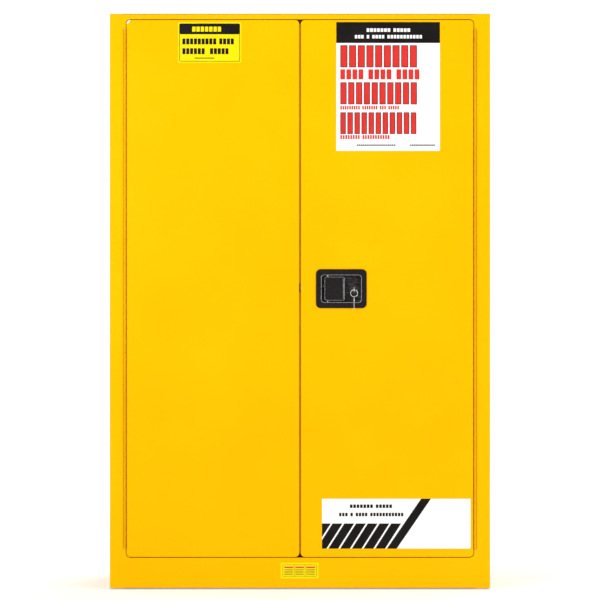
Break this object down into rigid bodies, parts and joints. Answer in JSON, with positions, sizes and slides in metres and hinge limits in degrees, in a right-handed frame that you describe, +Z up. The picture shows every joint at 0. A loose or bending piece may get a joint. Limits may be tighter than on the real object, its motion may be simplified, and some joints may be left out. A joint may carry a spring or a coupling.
{
  "type": "flammable storage cabinet",
  "caption": "Tall double-walled steel safety cabinet with two hinged doors, a recessed paddle latch, a key lock, adjustable shelves, a leakproof sump, capped vents and levelling feet.",
  "frame": {"origin": "on the floor under the middle of the cabinet, with the levelling feet's undersides at height zero", "axes": "+Z up, the doors face -Y, +X to the right as seen from the front"},
  "size_m": [1.0916, 0.496, 1.65],
  "materials": {
    "yellow_enamel": "gloss powder coat",
    "black_enamel": "satin",
    "galvanised_steel": "spangled zinc",
    "plated_steel": "bright zinc",
    "nickel": "polished",
    "brass": "satin",
    "dark_steel": "blackened"
  },
  "bodies": {
    "cabinet": {"left_side_panel": "yellow_enamel", "right_side_panel": "yellow_enamel", "back_panel": "yellow_enamel", "top_panel": "yellow_enamel", "base_panel": "yellow_enamel", "front_header": "yellow_enamel", "front_sill": "yellow_enamel", "left_door_jamb": "yellow_enamel", "right_door_jamb": "yellow_enamel", "left_liner_panel": "yellow_enamel", "right_liner_panel": "yellow_enamel", "back_liner_panel": "yellow_enamel", "ceiling_liner_panel": "yellow_enamel", "sump_pan": "yellow_enamel", "base_stiffeners": "galvanised_steel", "frame_strike_plates": "plated_steel", "shelf_standards": "yellow_enamel", "shelf_clips": "galvanised_steel", "vent_sockets": "dark_steel", "flame_arresters": "brass", "ground_terminal": "brass", "foot_brackets": "plated_steel", "left_hinge_frame_leaf": "yellow_enamel", "right_hinge_frame_leaf": "yellow_enamel", "hinge_pins": "plated_steel"},
    "left_door": {"left_door_skin": "yellow_enamel", "left_door_inner_pan": "yellow_enamel", "left_hinge_door_leaf": "yellow_enamel", "left_door_astragal": "yellow_enamel", "left_door_strike": "plated_steel"},
    "right_door": {"right_door_skin": "yellow_enamel", "right_door_inner_pan": "yellow_enamel", "right_hinge_door_leaf": "yellow_enamel", "latch_tray": "black_enamel", "paddle_pin": "plated_steel", "paddle_spring": "plated_steel", "latch_back_plate": "plated_steel", "rod_guides": "plated_steel", "lock_barrel": "dark_steel", "latch_access_cover": "yellow_enamel", "access_cover_screws": "plated_steel"},
    "paddle": {"latch_paddle": "black_enamel", "paddle_lever": "plated_steel"},
    "cam": {"latch_cam": "plated_steel"},
    "top_rod": {"top_latch_rod": "plated_steel"},
    "bottom_rod": {"bottom_latch_rod": "plated_steel"},
    "centre_bolt": {"centre_latch_bolt": "plated_steel"},
    "lock": {"lock_plug": "dark_steel", "lock_tongue": "plated_steel", "key": "nickel"},
    "ring": {"key_ring": "nickel"},
    "spare": {"spare_key": "nickel"},
    "lower_shelf": {"lower_shelf": "galvanised_steel"},
    "upper_shelf": {"upper_shelf": "galvanised_steel"},
    "left_cap": {"left_vent_cap": "dark_steel"},
    "right_cap": {"right_vent_cap": "dark_steel"},
    "foot_front_left": {"front_left_foot": "plated_steel"},
    "foot_front_right": {"front_right_foot": "plated_steel"},
    "foot_rear_left": {"rear_left_foot": "plated_steel"},
    "foot_rear_right": {"rear_right_foot": "plated_steel"}
  },
  "joints": [
    {"name": "left_door_swing", "type": "hinge", "parent": "cabinet", "child": "left_door", "pos_m": [-0.502, -0.2305, 0.86], "axis": [0, 0, -1], "range_deg": [0, 180]},
    {"name": "right_door_swing", "type": "hinge", "parent": "cabinet", "child": "right_door", "pos_m": [0.502, -0.2305, 0.86], "axis": [0, 0, 1], "range_deg": [0, 180]},
    {"name": "paddle_pull", "type": "hinge", "parent": "right_door", "child": "paddle", "pos_m": [0.0791, -0.225, 0.862], "axis": [0, 0, -1], "range_deg": [0, 31], "stiffness_Nm_per_rad": 0.5, "springref_deg": -17.19},
    {"name": "latch_cam_turn", "type": "hinge", "parent": "right_door", "child": "cam", "pos_m": [0.084, -0.1977, 0.894], "axis": [0, -1, 0], "range_deg": [-28, 0]},
    {"name": "top_rod_throw", "type": "slide", "parent": "right_door", "child": "top_rod", "axis": [0, 0, 1], "range_m": [0, 0.0145]},
    {"name": "bottom_rod_throw", "type": "slide", "parent": "right_door", "child": "bottom_rod", "axis": [0, 0, 1], "range_m": [-0.0145, 0]},
    {"name": "centre_bolt_throw", "type": "slide", "parent": "right_door", "child": "centre_bolt", "axis": [-1, 0, 0], "range_m": [0, 0.0145]},
    {"name": "key_turn", "type": "hinge", "parent": "right_door", "child": "lock", "pos_m": [0.1548, -0.222, 0.86], "axis": [0, -1, 0], "range_deg": [-90, 0]},
    {"name": "key_ring_swing", "type": "hinge", "parent": "lock", "child": "ring", "pos_m": [0.1548, -0.2415, 0.85885], "axis": [-1, 0, 0], "range_deg": [0, 50]},
    {"name": "spare_key_swing", "type": "hinge", "parent": "ring", "child": "spare", "pos_m": [0.1548, -0.2415, 0.83885], "axis": [-1, 0, 0], "range_deg": [0, 40]},
    {"name": "lower_shelf_lift", "type": "slide", "parent": "cabinet", "child": "lower_shelf", "axis": [0, 0, 1], "range_m": [0, 0.055]},
    {"name": "upper_shelf_lift", "type": "slide", "parent": "cabinet", "child": "upper_shelf", "axis": [0, 0, 1], "range_m": [0, 0.055]},
    {"name": "left_vent_cap_slide", "type": "slide", "parent": "cabinet", "child": "left_cap", "axis": [-1, 0, 0], "range_m": [0, 0.03]},
    {"name": "right_vent_cap_slide", "type": "slide", "parent": "cabinet", "child": "right_cap", "axis": [1, 0, 0], "range_m": [0, 0.03]},
    {"name": "front_left_foot_screw", "type": "slide", "parent": "cabinet", "child": "foot_front_left", "axis": [0, 0, -1], "range_m": [0, 0.015]},
    {"name": "front_right_foot_screw", "type": "slide", "parent": "cabinet", "child": "foot_front_right", "axis": [0, 0, -1], "range_m": [0, 0.015]},
    {"name": "rear_left_foot_screw", "type": "slide", "parent": "cabinet", "child": "foot_rear_left", "axis": [0, 0, -1], "range_m": [0, 0.015]},
    {"name": "rear_right_foot_screw", "type": "slide", "parent": "cabinet", "child": "foot_rear_right", "axis": [0, 0, -1], "range_m": [0, 0.015]}
  ],
  "couplings": [
    {"joint": "latch_cam_turn", "follows": "bottom_rod_throw", "rad_per_m": 33.667},
    {"joint": "top_rod_throw", "follows": "bottom_rod_throw", "ratio": -1},
    {"joint": "centre_bolt_throw", "follows": "bottom_rod_throw", "ratio": -1}
  ]
}
